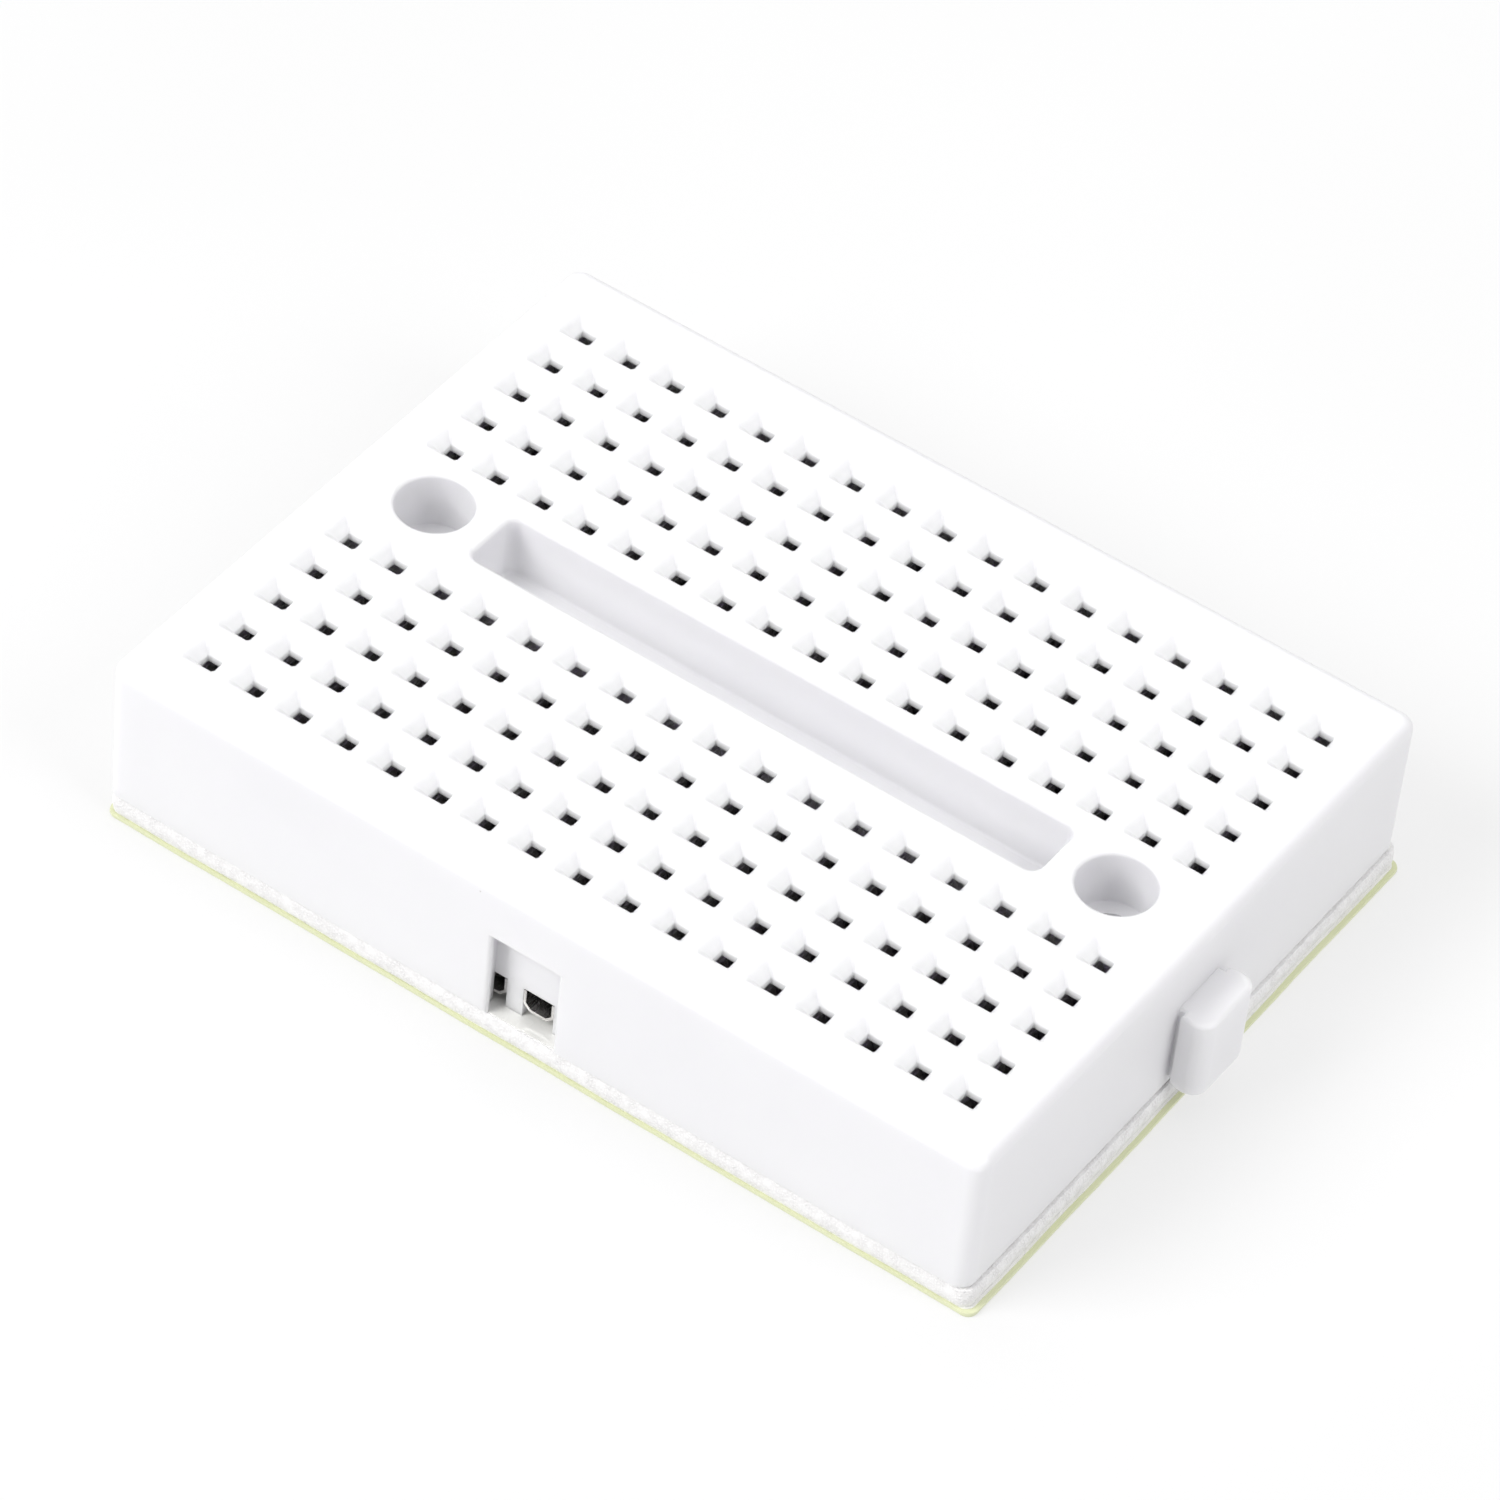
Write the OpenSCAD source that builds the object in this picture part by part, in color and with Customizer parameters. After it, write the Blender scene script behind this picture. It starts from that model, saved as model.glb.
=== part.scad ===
// Solderless breadboard, 170 tie points, with its contact clips and foam backing.
// The origin is on the underside of the release liner, below the centre of the
// tie-point grid. +X runs along the board, +Z is up. All sizes are in millimetres.

/* [Tie points] */
// Spacing of the tie points both ways
pitch = 2.54; // [2.5:0.01:2.6]
// Columns of tie points along the board
columns = 17; // [9:2:17]
// Tie points in each half of a column
rows = 5; // [3:1:5]
// Distance between the innermost rows of the two halves, in pitches
ditch_pitches = 3; // [3:1:4]
// Width of the funnel at the top face
funnel_top_w = 1.95; // [1.7:0.05:2.1]
// Width of the square hole below the funnel
hole_w = 0.9; // [0.8:0.05:1]
// Depth of the funnel
funnel_h = 0.75; // [0.5:0.05:1]

/* [Housing] */
// Length of the housing
body_l = 46.6; // [46:0.1:50]
// Width of the housing
body_w = 34.8; // [34.4:0.1:38]
// Height of the housing
body_h = 8.05; // [7.5:0.05:10]
// Radius of the four upright corners
corner_r = 0.8; // [0.5:0.1:1.5]
// Radius along the top edges
edge_r = 0.5; // [0.2:0.1:0.7]
// Thickness of the top face above the contact pockets
skin_t = 1.1; // [1:0.05:1.5]

/* [Centre channel] */
// Length of the centre channel
channel_l = 30.7; // [20:0.1:31]
// Width of the centre channel
channel_w = 3.4; // [2.5:0.1:3.6]
// Depth of the centre channel
channel_h = 3.4; // [2:0.1:4]
// Radius of the channel's corners
channel_r = 0.6; // [0.3:0.1:1]
// Thickness of the channel's floor
channel_floor_t = 1.2; // [0.8:0.1:2]

/* [Screw holes] */
// Distance between the two screw holes
screw_spacing = 37; // [36:0.1:38]
// Diameter of the hole for the screw's shank
screw_hole_d = 2.2; // [1.8:0.1:2.6]
// Diameter of the recess for the screw's head
screw_head_d = 3.7; // [3.2:0.1:4]
// Depth of the recess for the screw's head
screw_head_h = 3; // [1:0.1:4]

/* [Interlocks] */
// Width of a tab's neck
neck_w = 3.2; // [2.4:0.1:3.4]
// Width of a tab's head
head_w = 4.1; // [3.6:0.1:4.2]
// Length of a tab's neck, out from the housing
neck_l = 0.3; // [0.2:0.05:0.5]
// How far the end tab stands out from the housing
end_tab_l = 1.8; // [1.2:0.1:1.9]
// How far the back tab stands out from the housing
back_tab_l = 0.9; // [0.7:0.05:1]
// Height of a tab's top above the housing's underside
tab_top_h = 4.85; // [4:0.05:5]
// Height of a tab's bottom above the housing's underside
tab_bottom_h = 0.4; // [0.2:0.1:1]
// Radius of a tab head's front corners
head_r = 0.3; // [0.1:0.05:0.4]
// Thickness of the lips on both sides of a slot's mouth
lip_t = 0.25; // [0.15:0.05:0.3]
// Play between a tab's head and the inside of a slot on each side
tab_play = 0.05; // [0.03:0.01:0.1]
// Play between a tab's neck and a slot's mouth on each side
mouth_play = 0.2; // [0.05:0.01:0.2]
// Depth of the front slot
front_slot_depth = 0.95; // [0.95:0.05:1.05]
// Depth of the end slot
end_slot_depth = 1.85; // [1.85:0.05:1.95]
// Sideways offset of the front slot and the back tab
long_side_shift = -0.3; // [-0.3:0.02:0.3]
// Sideways offset of the end slot and the end tab
end_shift = -0.1; // [-0.2:0.02:0.2]

/* [Contact clips] */
// Thickness of the sheet metal
sheet_t = 0.15; // [0.1:0.01:0.2]
// Width of a contact pocket in the housing
pocket_w = 1.66; // [1.6:0.02:1.8]
// Width of the clip's flat bottom
clip_flat_w = 0.96; // [0.8:0.02:1.1]
// Height of the clip's bottom above the housing's underside
clip_lift = 0.5; // [0.3:0.05:0.8]
// Height of the clip's side walls above the housing's underside
clip_wall_h = 1.65; // [1.4:0.05:1.7]
// Width of each spring leaf along the clip
leaf_w = 2; // [1.6:0.1:2.2]
// Gap between a pair of leaves where they grip a lead
leaf_gap = 0.08; // [0.04:0.02:0.3]

/* [Backing] */
// Thickness of the adhesive film on each face of the foam
adhesive_t = 0.05; // [0.03:0.01:0.1]
// Thickness of the foam pad
foam_t = 1.05; // [0.8:0.05:1.5]
// Thickness of the release liner
liner_t = 0.2; // [0.1:0.05:0.3]
// How far the foam stands proud of the housing at the tab end
foam_proud = 0.35; // [0:0.05:0.5]
// How far the liner stands proud of the foam all round
liner_proud = 0.1; // [0:0.05:0.3]
// Radius of the backing's corners
backing_r = 0.6; // [0.3:0.1:1]

/* [Hidden] */
SIDES = ["a", "b"];
$fn = 48;
over = 1;

// Heights of the layers, from the liner up
lower_adhesive_z = liner_t;
foam_z = lower_adhesive_z + adhesive_t;
upper_adhesive_z = foam_z + foam_t;
base_z = upper_adhesive_z + adhesive_t;
top_z = base_z + body_h;

// Places of the tie points
first_row_y = ditch_pitches * pitch / 2;
last_row_y = first_row_y + (rows - 1) * pitch;
COLUMN_X = [for (i = [1 : columns]) (i - (columns + 1) / 2) * pitch];
ROW_Y = [for (i = [0 : rows - 1]) first_row_y + i * pitch];
ALL_ROW_Y = concat([for (y = ROW_Y) -y], ROW_Y);

// Contact pockets: tall over the leaves, low at the outer end, which breaks into the front slot
pocket_end_play = 0.04;
pocket_inner_y = first_row_y - pitch / 2 - 0.04;
pocket_outer_y = last_row_y + pitch / 2 + 0.06;
pocket_end_y = body_w / 2 - front_slot_depth + 0.02;
pocket_top_z = top_z - skin_t;
window_top_z = base_z + clip_wall_h + 0.1;

// Clip: pressed between the pocket's walls, with leaves that end below its ceiling
clip_w = pocket_w;
clip_z = base_z + clip_lift;
clip_wall_z = base_z + clip_wall_h;
leaf_tip_z = pocket_top_z - 0.35;
leaf_grip_z = leaf_tip_z - 1.1;
leaf_root_z = clip_wall_z + 0.5;
leaf_flare = 0.32;
clip_inner_y = pocket_inner_y + pocket_end_play;
clip_outer_y = pocket_end_y - pocket_end_play;

// Backing outline
foam_l = body_l + foam_proud - 0.05;
foam_w = body_w - 0.1;
foam_x = (foam_proud + 0.05) / 2;
liner_l = foam_l + 2 * liner_proud;
liner_w = foam_w + 2 * liner_proud;

// Name of one clip: its half of the board and its column
function clip_name(side, i) = str("clip_", side, i < 10 ? "0" : "", i);

// Direction of the sheet at point i of a path, and the sideways step that keeps its thickness
function unit(v) = v / norm(v);
function run(p, i) = unit(p[min(i + 1, len(p) - 1)] - p[min(i, len(p) - 2)]);
function run_in(p, i) = run(p, max(i - 1, 0));
function left_of(v) = [-v[1], v[0]];
function miter(p, i) =
    let (a = left_of(run_in(p, i)), b = left_of(run(p, i)), m = unit(a + b))
    m / (m * b);

// Outline of a bent sheet of thickness t whose middle follows the path p
function sheet(p, t) = concat(
    [for (i = [0 : len(p) - 1]) p[i] + miter(p, i) * t / 2],
    [for (i = [len(p) - 1 : -1 : 0]) p[i] - miter(p, i) * t / 2]
);

// Rectangle with round corners, centred on the origin
module round_rect(l, w, r) {
    square([l - 2 * r, w], center = true);
    square([l, w - 2 * r], center = true);
    for (x = [-1, 1]) for (y = [-1, 1])
        translate([x * (l / 2 - r), y * (w / 2 - r)]) circle(r);
}

// Upright wall section, w wide, round at its two top corners
module arched(w, h, r) {
    translate([-w / 2, 0]) square([w, h - r]);
    translate([-w / 2 + r, 0]) square([w - 2 * r, h]);
    for (x = [-1, 1]) translate([x * (w / 2 - r), h - r]) circle(r);
}

// Extrusions of an X-Z or Y-Z section, centred on the origin along the other axis
module along_y(l) {
    translate([0, l / 2, 0]) rotate([90, 0, 0]) linear_extrude(l) children();
}
module along_x(l) {
    translate([-l / 2, 0, 0]) rotate([90, 0, 90]) linear_extrude(l) children();
}

// Block with round upright corners and round top edges
module housing_block() {
    translate([0, 0, base_z]) intersection() {
        linear_extrude(body_h) round_rect(body_l, body_w, corner_r);
        along_y(body_w) arched(body_l, body_h, edge_r);
        along_x(body_l) arched(body_w, body_h, edge_r);
    }
}

// Section of a tie point: funnel above, straight hole down into the pocket
module tie_section() {
    polygon([
        [-hole_w / 2, pocket_top_z - over], [hole_w / 2, pocket_top_z - over],
        [hole_w / 2, top_z - funnel_h], [funnel_top_w / 2, top_z],
        [funnel_top_w / 2, top_z + over], [-funnel_top_w / 2, top_z + over],
        [-funnel_top_w / 2, top_z], [-hole_w / 2, top_z - funnel_h]
    ]);
}

// Every tie point at once: bars along the rows cross bars along the columns
module tie_points() {
    intersection() {
        for (x = COLUMN_X) translate([x, 0, 0]) along_y(body_w) tie_section();
        for (y = ALL_ROW_Y) translate([0, y, 0]) along_x(body_l) tie_section();
    }
}

// Pocket for the clip of one half column, open at the housing's underside
module contact_pocket(x) {
    translate([x - pocket_w / 2, pocket_inner_y, base_z - over])
        cube([pocket_w, pocket_outer_y - pocket_inner_y, pocket_top_z - base_z + over]);
    translate([x - pocket_w / 2, pocket_inner_y, base_z - over])
        cube([pocket_w, pocket_end_y - pocket_inner_y, window_top_z - base_z + over]);
}

module contact_pockets() {
    for (x = COLUMN_X) {
        contact_pocket(x);
        mirror([0, 1, 0]) contact_pocket(x);
    }
}

// Channel between the two halves, and the hollow under its floor
module centre_channel() {
    core_wall = 0.4;
    translate([0, 0, top_z - channel_h])
        linear_extrude(channel_h + over) round_rect(channel_l, channel_w, channel_r);
    translate([0, 0, base_z - over])
        linear_extrude(body_h - channel_h - channel_floor_t + over)
            round_rect(channel_l - 2 * core_wall, channel_w - core_wall / 2, channel_r);
}

// Counterbored hole for a countersunk or cheese-head screw
module screw_hole(x) {
    translate([x, 0, base_z - over]) cylinder(d = screw_hole_d, h = body_h + 2 * over);
    translate([x, 0, top_z - screw_head_h]) cylinder(d = screw_head_d, h = screw_head_h + over);
}

// Plan of a tab that stands out along +Y from the line y = 0
module tab_plan(l) {
    translate([-neck_w / 2, -over]) square([neck_w, l + over - head_r]);
    translate([-head_w / 2, neck_l]) square([head_w, l - neck_l - head_r]);
    translate([-head_w / 2 + head_r, neck_l]) square([head_w - 2 * head_r, l - neck_l]);
    for (x = [-1, 1]) translate([x * (head_w / 2 - head_r), l - head_r]) circle(head_r);
}

module tab(l) {
    translate([0, 0, base_z + tab_bottom_h])
        linear_extrude(tab_top_h - tab_bottom_h) tab_plan(l);
}

// Slot that takes a tab from below, cut in along +Y from the line y = 0
module slot(depth) {
    mouth_w = neck_w + 2 * mouth_play;
    inner_w = head_w + 2 * tab_play;
    slot_h = tab_top_h + 2 * tab_play + over;
    translate([-mouth_w / 2, -over, base_z - over]) cube([mouth_w, depth + over, slot_h]);
    translate([-inner_w / 2, lip_t, base_z - over]) cube([inner_w, depth - lip_t, slot_h]);
}

module housing() {
    color("white") difference() {
        union() {
            housing_block();
            translate([body_l / 2, end_shift, 0]) rotate([0, 0, -90]) tab(end_tab_l);
            translate([long_side_shift, body_w / 2, 0]) tab(back_tab_l);
        }
        tie_points();
        contact_pockets();
        centre_channel();
        for (x = [-1, 1]) screw_hole(x * screw_spacing / 2);
        translate([long_side_shift, -body_w / 2, 0]) slot(front_slot_depth);
        translate([-body_l / 2, end_shift, 0]) rotate([0, 0, -90]) slot(end_slot_depth);
    }
}

// Trough of the clip: flat bottom, bevelled corners, low upright sides
module clip_trough() {
    side_x = (clip_w - sheet_t) / 2;
    flat_x = (clip_flat_w - sheet_t) / 2;
    low_z = clip_z + sheet_t / 2;
    bevel_z = low_z + side_x - flat_x;
    trough = [
        [-side_x, clip_wall_z], [-side_x, bevel_z], [-flat_x, low_z],
        [flat_x, low_z], [side_x, bevel_z], [side_x, clip_wall_z]
    ];
    translate([0, (clip_inner_y + clip_outer_y) / 2, 0])
        along_y(clip_outer_y - clip_inner_y) polygon(sheet(trough, sheet_t));
}

// One leaf: up from the side wall, in to the grip line, out again at the tip
module clip_leaf() {
    side_x = (clip_w - sheet_t) / 2;
    grip_x = (leaf_gap + sheet_t) / 2;
    leaf = [
        [side_x, clip_wall_z - sheet_t], [side_x, leaf_root_z],
        [grip_x, leaf_grip_z], [grip_x + leaf_flare, leaf_tip_z]
    ];
    along_y(leaf_w) polygon(sheet(leaf, sheet_t));
}

// Clip of one half column, a single stamping with a pair of leaves at each tie point
module clip(x, side) {
    color("silver") translate([x, 0, 0]) mirror([0, side == "a" ? 1 : 0, 0]) {
        clip_trough();
        for (y = ROW_Y) translate([0, y, 0]) {
            clip_leaf();
            mirror([1, 0, 0]) clip_leaf();
        }
    }
}

// Flat layer of the backing
module layer(l, w, z, t) {
    translate([foam_x, 0, z]) linear_extrude(t) round_rect(l, w, backing_r);
}

module upper_adhesive() {
    color("whitesmoke") layer(foam_l, foam_w, upper_adhesive_z, adhesive_t);
}

module foam_pad() {
    color("snow") layer(foam_l, foam_w, foam_z, foam_t);
}

module lower_adhesive() {
    color("whitesmoke") layer(foam_l, foam_w, lower_adhesive_z, adhesive_t);
}

module release_liner() {
    color("palegoldenrod") layer(liner_l, liner_w, 0, liner_t);
}

housing();
upper_adhesive();
foam_pad();
lower_adhesive();
release_liner();
for (side = SIDES) for (i = [1 : columns])
    clip(COLUMN_X[i - 1], side);
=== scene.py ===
import math
import random
import bmesh
import bpy
from mathutils import Matrix, Vector, noise


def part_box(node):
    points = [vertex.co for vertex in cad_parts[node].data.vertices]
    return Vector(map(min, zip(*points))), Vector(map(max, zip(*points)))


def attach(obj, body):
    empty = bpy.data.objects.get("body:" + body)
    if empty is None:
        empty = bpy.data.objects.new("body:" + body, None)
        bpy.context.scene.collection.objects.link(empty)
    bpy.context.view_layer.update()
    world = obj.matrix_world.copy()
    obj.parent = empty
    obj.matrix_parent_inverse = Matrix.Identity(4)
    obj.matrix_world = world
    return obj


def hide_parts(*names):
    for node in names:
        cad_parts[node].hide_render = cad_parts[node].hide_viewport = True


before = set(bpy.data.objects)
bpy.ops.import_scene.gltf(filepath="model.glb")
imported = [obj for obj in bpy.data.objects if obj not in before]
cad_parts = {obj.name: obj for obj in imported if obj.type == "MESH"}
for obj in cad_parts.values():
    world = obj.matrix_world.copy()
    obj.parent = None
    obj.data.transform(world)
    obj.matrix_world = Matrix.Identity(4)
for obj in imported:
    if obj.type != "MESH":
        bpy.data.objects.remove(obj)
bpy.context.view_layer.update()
print("frame loaded:", len(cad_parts), "nodes")

# Meshes are made in millimetres and turned into metres when they are finished
mm = 0.001


def boxInMm(node):
    low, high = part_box(node)
    return low / mm, high / mm


housingLow, housingHigh = boxInMm("housing")
baseZ = housingLow.z
deckZ = housingHigh.z
bodyHalf = (-housingLow.x, -housingLow.y)
clipNames = [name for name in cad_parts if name.startswith("clip_")]


def addRing(bm, points):
    return [bm.verts.new(p) for p in points]


# Closed solid through loops of points that run round it, one loop above another
def solidFromRings(bm, loops):
    rings = [addRing(bm, loop) for loop in loops]
    for lower, upper in zip(rings, rings[1:]):
        for i in range(len(lower)):
            j = (i + 1) % len(lower)
            bm.faces.new((lower[i], lower[j], upper[j], upper[i]))
    bm.faces.new(list(reversed(rings[0])))
    bm.faces.new(rings[-1])


def raised(outline, z):
    return [(x, y, z) for x, y in outline]


def arcPoints(cx, cy, radius, start, end, steps):
    points = []
    for i in range(steps + 1):
        a = math.radians(start + (end - start) * i / steps)
        points.append((cx + radius * math.cos(a), cy + radius * math.sin(a)))
    return points


# Steps of a quarter round of radius 1, as pairs that go from (1, 0) to (0, 1)
def quarterRound(steps):
    turns = [math.radians(90 * i / steps) for i in range(steps + 1)]
    return [(1 - math.sin(a), 1 - math.cos(a)) for a in turns]


# Rectangle with round corners, anticlockwise from the right-hand side
def roundedOutline(halfX, halfY, radius, steps=6):
    points = []
    for signX, signY, start in ((1, 1, 0), (-1, 1, 90), (-1, -1, 180), (1, -1, 270)):
        cx = signX * (halfX - radius)
        cy = signY * (halfY - radius)
        points += arcPoints(cx, cy, radius, start, start + 90, steps)
    return points


def meshObject(name, bm):
    bmesh.ops.recalc_face_normals(bm, faces=bm.faces)
    mesh = bpy.data.meshes.new(name)
    bm.to_mesh(mesh)
    bm.free()
    obj = bpy.data.objects.new(name, mesh)
    bpy.context.scene.collection.objects.link(obj)
    return obj


def boxCutter(bm, low, high):
    outline = [(low[0], low[1]), (high[0], low[1]), (high[0], high[1]), (low[0], high[1])]
    solidFromRings(bm, [raised(outline, low[2]), raised(outline, high[2])])


# The object's mesh with its modifiers in it
def bakeModifiers(obj):
    graph = bpy.context.evaluated_depsgraph_get()
    mesh = bpy.data.meshes.new_from_object(obj.evaluated_get(graph), depsgraph=graph)
    obj.modifiers.clear()
    obj.data = mesh
    return obj


def cutWith(obj, cutter, operation="DIFFERENCE"):
    modifier = obj.modifiers.new("cut", "BOOLEAN")
    modifier.operation = operation
    modifier.solver = "EXACT"
    modifier.object = cutter
    bakeModifiers(obj)
    bpy.data.objects.remove(cutter)


def smoothByAngle(obj, degrees):
    obj.data.shade_smooth()
    obj.data.set_sharp_from_angle(angle=math.radians(degrees))


def finishPiece(obj, body, nodes, material):
    obj.data.transform(Matrix.Scale(mm, 4))
    obj.data.polygons.foreach_set("material_index", [0] * len(obj.data.polygons))
    obj.data.materials.clear()
    obj.data.materials.append(material)
    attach(obj, body)
    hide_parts(*nodes)
    return obj


# Socket kinds by a short name, for group inputs and outputs
socketTypes = {
    "float": "NodeSocketFloat", "int": "NodeSocketInt", "vector": "NodeSocketVector",
    "colour": "NodeSocketColor", "object": "NodeSocketObject", "material": "NodeSocketMaterial",
    "geometry": "NodeSocketGeometry",
}


def newTree(name, kind, inputs, outputs):
    tree = bpy.data.node_groups.new(name, kind)
    ids = {}
    for label, socket in inputs:
        added = tree.interface.new_socket(name=label, in_out="INPUT", socket_type=socketTypes[socket])
        ids[label] = added.identifier
    for label, socket in outputs:
        tree.interface.new_socket(name=label, in_out="OUTPUT", socket_type=socketTypes[socket])
    enter = tree.nodes.new("NodeGroupInput")
    leave = tree.nodes.new("NodeGroupOutput")
    return tree, ids, enter, leave


def addNode(tree, kind, **settings):
    node = tree.nodes.new(kind)
    for key, value in settings.items():
        setattr(node, key, value)
    return node


def runTree(obj, tree, ids, values):
    modifier = obj.modifiers.new(tree.name, "NODES")
    modifier.node_group = tree
    for label, value in values.items():
        modifier[ids[label]] = value
    return bakeModifiers(obj)


def mathNode(tree, operation, a, b=None):
    node = addNode(tree, "ShaderNodeMath", operation=operation)
    for socket, value in zip(node.inputs, (a, b)):
        if value is None:
            continue
        if isinstance(value, (int, float)):
            socket.default_value = value
        else:
            tree.links.new(value, socket)
    return node.outputs[0]


# Fine moulded or rolled grain: a height for bump and a tone for colour and gloss
def grainGroup():
    tree, ids, enter, leave = newTree(
        "fineGrain", "ShaderNodeTree",
        [("Grain Size mm", "float"), ("Patch Size mm", "float"), ("Stretch", "vector")],
        [("Height", "float"), ("Tone", "float")])
    place = addNode(tree, "ShaderNodeTexCoord")
    stretch = addNode(tree, "ShaderNodeVectorMath", operation="MULTIPLY")
    tree.links.new(place.outputs["Object"], stretch.inputs[0])
    tree.links.new(enter.outputs["Stretch"], stretch.inputs[1])
    for label, output, detail in (("Grain Size mm", "Height", 3), ("Patch Size mm", "Tone", 2)):
        perMetre = mathNode(tree, "DIVIDE", 1000, enter.outputs[label])
        cloud = addNode(tree, "ShaderNodeTexNoise")
        cloud.inputs["Detail"].default_value = detail
        tree.links.new(stretch.outputs[0], cloud.inputs["Vector"])
        tree.links.new(perMetre, cloud.inputs["Scale"])
        tree.links.new(cloud.outputs["Fac"], leave.inputs[output])
    return tree


# Small scattered marks, such as dust and black specks, as a mask
def speckGroup():
    tree, ids, enter, leave = newTree(
        "scatteredSpecks", "ShaderNodeTree",
        [("Spacing mm", "float"), ("Speck Size", "float"), ("Share", "float")],
        [("Mask", "float")])
    place = addNode(tree, "ShaderNodeTexCoord")
    perMetre = mathNode(tree, "DIVIDE", 1000, enter.outputs["Spacing mm"])
    cells = addNode(tree, "ShaderNodeTexVoronoi")
    tree.links.new(place.outputs["Object"], cells.inputs["Vector"])
    tree.links.new(perMetre, cells.inputs["Scale"])
    near = mathNode(tree, "LESS_THAN", cells.outputs["Distance"], enter.outputs["Speck Size"])
    split = addNode(tree, "ShaderNodeSeparateColor")
    tree.links.new(cells.outputs["Color"], split.inputs[0])
    chosen = mathNode(tree, "LESS_THAN", split.outputs[0], enter.outputs["Share"])
    tree.links.new(mathNode(tree, "MULTIPLY", near, chosen), leave.inputs["Mask"])
    return tree


# Mask of rounded edges, from how sharply the surface turns; the materials lay a painted highlight there
def edgeGroup():
    tree, ids, enter, leave = newTree(
        "paintedEdgeHighlight", "ShaderNodeTree",
        [("Start", "float"), ("Strength", "float")],
        [("Mask", "float")])
    shape = addNode(tree, "ShaderNodeNewGeometry")
    over = mathNode(tree, "SUBTRACT", shape.outputs["Pointiness"], enter.outputs["Start"])
    scaled = mathNode(tree, "MULTIPLY", over, enter.outputs["Strength"])
    clamp = addNode(tree, "ShaderNodeClamp")
    tree.links.new(scaled, clamp.inputs[0])
    tree.links.new(clamp.outputs[0], leave.inputs["Mask"])
    return tree


grain = grainGroup()
specks = speckGroup()
edgeHighlight = edgeGroup()


def placeGroup(tree, group, **values):
    node = addNode(tree, "ShaderNodeGroup", node_tree=group)
    for label, value in values.items():
        node.inputs[label.replace("_", " ")].default_value = value
    return node


def mixColour(tree, mask, first, second):
    node = addNode(tree, "ShaderNodeMix", data_type="RGBA")
    tree.links.new(mask, node.inputs["Factor"])
    for socket, value in (("A", first), ("B", second)):
        target = [s for s in node.inputs if s.name == socket and s.type == "RGBA"][0]
        if isinstance(value, tuple):
            target.default_value = (*value, 1)
        else:
            tree.links.new(value, target)
    return [s for s in node.outputs if s.type == "RGBA"][0]


def rangeNode(tree, value, low, high, fromLow=0.0, fromHigh=1.0):
    node = addNode(tree, "ShaderNodeMapRange")
    node.inputs["From Min"].default_value = fromLow
    node.inputs["From Max"].default_value = fromHigh
    node.inputs["To Min"].default_value = low
    node.inputs["To Max"].default_value = high
    tree.links.new(value, node.inputs["Value"])
    return node.outputs["Result"]


def newMaterial(name, **constants):
    material = bpy.data.materials.new(name)
    material.use_nodes = True
    shader = material.node_tree.nodes["Principled BSDF"]
    for label, value in constants.items():
        shader.inputs[label.replace("_", " ")].default_value = value
    return material, material.node_tree, shader


def bumpFrom(tree, shader, height, strength, distanceMm):
    bump = addNode(tree, "ShaderNodeBump")
    bump.inputs["Strength"].default_value = strength
    bump.inputs["Distance"].default_value = distanceMm * mm
    tree.links.new(height, bump.inputs["Height"])
    tree.links.new(bump.outputs["Normal"], shader.inputs["Normal"])


# Uneven gloss and a fine bump from a placed grain group
def finishSurface(tree, shader, grained, look):
    gloss = rangeNode(tree, grained.outputs["Height"], *look["roughness"])
    tree.links.new(gloss, shader.inputs["Roughness"])
    bumpFrom(tree, shader, grained.outputs["Height"], look["bumpStrength"], look["bumpMm"])


# The edge colour is a painted highlight: a lighter colour laid on sharply turning edges
whitePlastic = {
    "colour": (0.815, 0.811, 0.828), "shade": (0.80, 0.796, 0.816), "speck": (0.60, 0.59, 0.585),
    "edge": (0.86, 0.86, 0.87), "grainMm": 0.16, "patchMm": 9.0, "bumpMm": 0.006,
    "roughness": (0.36, 0.5), "bumpStrength": 0.5, "glow": 0.55, "glowMm": 0.9,
    "glowRadius": (1.0, 0.97, 1.03),
    "dirtSpacingMm": 3.1, "dirtSize": 0.015, "dirtShare": 0.3, "edgeStart": 0.52, "edgeStrength": 6.0,
}


def plasticMaterial():
    look = whitePlastic
    material, tree, shader = newMaterial(
        "whitePlastic", IOR=1.54, Subsurface_Weight=look["glow"], Subsurface_Scale=look["glowMm"] * mm)
    shader.inputs["Subsurface Radius"].default_value = look["glowRadius"]
    skin = placeGroup(tree, grain, Grain_Size_mm=look["grainMm"], Patch_Size_mm=look["patchMm"],
                      Stretch=(1, 1, 1))
    dirt = placeGroup(tree, specks, Spacing_mm=look["dirtSpacingMm"], Speck_Size=look["dirtSize"],
                      Share=look["dirtShare"])
    edges = placeGroup(tree, edgeHighlight, Start=look["edgeStart"], Strength=look["edgeStrength"])
    patch = rangeNode(tree, skin.outputs["Tone"], 0.0, 1.0, 0.35, 0.65)
    colour = mixColour(tree, patch, look["colour"], look["shade"])
    # painted highlight: lighter colour on sharply turning edges
    colour = mixColour(tree, edges.outputs["Mask"], colour, look["edge"])
    colour = mixColour(tree, dirt.outputs["Mask"], colour, look["speck"])
    tree.links.new(colour, shader.inputs["Base Color"])
    finishSurface(tree, shader, skin, look)
    return material


# The edge colour is a painted highlight: a lighter colour laid on the clips' sharply turning edges
clipMetal = {
    "colour": (0.60, 0.585, 0.57), "dull": (0.36, 0.345, 0.335), "grainMm": 0.09, "patchMm": 1.6,
    "edge": (0.74, 0.73, 0.71), "stretch": (1.0, 0.12, 1.0), "roughness": (0.14, 0.36),
    "bumpStrength": 0.4, "bumpMm": 0.004, "edgeStart": 0.5, "edgeStrength": 4.0,
}


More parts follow.
